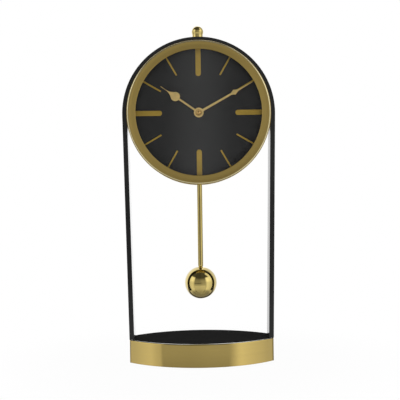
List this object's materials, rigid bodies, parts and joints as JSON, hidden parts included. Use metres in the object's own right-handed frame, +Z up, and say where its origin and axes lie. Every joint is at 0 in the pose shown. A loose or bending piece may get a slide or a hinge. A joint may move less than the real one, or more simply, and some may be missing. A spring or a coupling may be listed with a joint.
{
  "type": "desk pendulum clock",
  "caption": "Desk clock with a round gold case under a black arch, a swinging ball pendulum and a lens-shaped gold base.",
  "frame": {"origin": "on the table, under the middle of the base", "axes": "+Z up; the dial faces -Y; +X to the right seen from the front"},
  "size_m": [0.18, 0.102, 0.3982],
  "materials": {
    "black_frame": "black satin paint",
    "black_deck": "black satin paint",
    "gold_band": "brushed gold",
    "gold_case": "brushed gold",
    "gold_polish": "polished gold",
    "gold_ball": "polished gold plating",
    "gold_marker": "satin gold",
    "dial_black": "black satin",
    "clear_glass": "clear",
    "bright_steel": "bright",
    "zinc_steel": "zinc plated",
    "black_plastic": "matt",
    "grey_plastic": "matt",
    "white_plastic": "matt",
    "train_brass": "satin",
    "copper_coil": "enamelled wire",
    "board_green": "solder mask",
    "cell_wrap": "plain wrapper",
    "pad_rubber": "matt"
  },
  "bodies": {
    "stand": {"arch_frame": "black_frame", "base_band": "gold_band", "base_floor": "black_frame", "base_deck": "black_deck", "base_screws": "zinc_steel", "foot_pads": "pad_rubber", "case_drum": "gold_case", "bezel": "gold_case", "lens_glass": "clear_glass", "spacer_ring": "black_plastic", "dial_seat": "zinc_steel", "dial": "dial_black", "quarter_markers": "gold_marker", "hour_markers": "gold_marker", "bush_washer": "zinc_steel", "bush_nut": "zinc_steel", "front_shell": "black_plastic", "rear_shell": "black_plastic", "train_plate": "grey_plastic", "step_motor": "grey_plastic", "circuit_board": "board_green", "battery_contacts": "bright_steel", "back_cover": "black_frame", "cover_screws": "zinc_steel", "finial": "gold_polish", "saddle_washer": "zinc_steel", "finial_nut": "zinc_steel", "pendulum_bracket": "black_plastic", "pivot_pin": "bright_steel", "drive_coil": "copper_coil"},
    "minute": {"minute_hand": "gold_polish", "hand_cap": "gold_polish", "centre_arbor": "bright_steel", "centre_wheel": "train_brass"},
    "hour": {"hour_hand": "gold_polish", "hour_wheel": "white_plastic"},
    "setting": {"setting_knob": "black_plastic", "minute_wheel": "white_plastic"},
    "motor": {"motor_pinion": "white_plastic"},
    "pendulum": {"pendulum_rod": "gold_polish", "pendulum_bob": "gold_ball", "pendulum_hanger": "grey_plastic", "drive_magnet": "bright_steel", "hanger_pin": "bright_steel"},
    "cell": {"battery": "cell_wrap"}
  },
  "joints": [
    {"name": "minute_turn", "type": "hinge", "parent": "stand", "child": "minute", "pos_m": [0, -0.0215, 0.2932], "axis": [0, 1, 0], "continuous": true},
    {"name": "hour_turn", "type": "hinge", "parent": "stand", "child": "hour", "pos_m": [0, -0.02, 0.2932], "axis": [0, 1, 0], "continuous": true},
    {"name": "setting_turn", "type": "hinge", "parent": "stand", "child": "setting", "pos_m": [0.00849, 0.015, 0.30169], "axis": [0, 1, 0], "continuous": true},
    {"name": "motor_turn", "type": "hinge", "parent": "stand", "child": "motor", "pos_m": [-0.012, -0.006, 0.2932], "axis": [0, 1, 0], "continuous": true},
    {"name": "pendulum_swing", "type": "hinge", "parent": "stand", "child": "pendulum", "pos_m": [0, 0, 0.2552], "axis": [0, 1, 0], "range_deg": [-8, 8]},
    {"name": "cell_out", "type": "slide", "parent": "stand", "child": "cell", "axis": [0, 1, 0], "range_m": [0, 0.03]}
  ],
  "couplings": [
    {"joint": "hour_turn", "follows": "minute_turn", "ratio": 0.083333},
    {"joint": "setting_turn", "follows": "minute_turn", "ratio": -0.33333},
    {"joint": "motor_turn", "follows": "minute_turn", "ratio": -4}
  ]
}
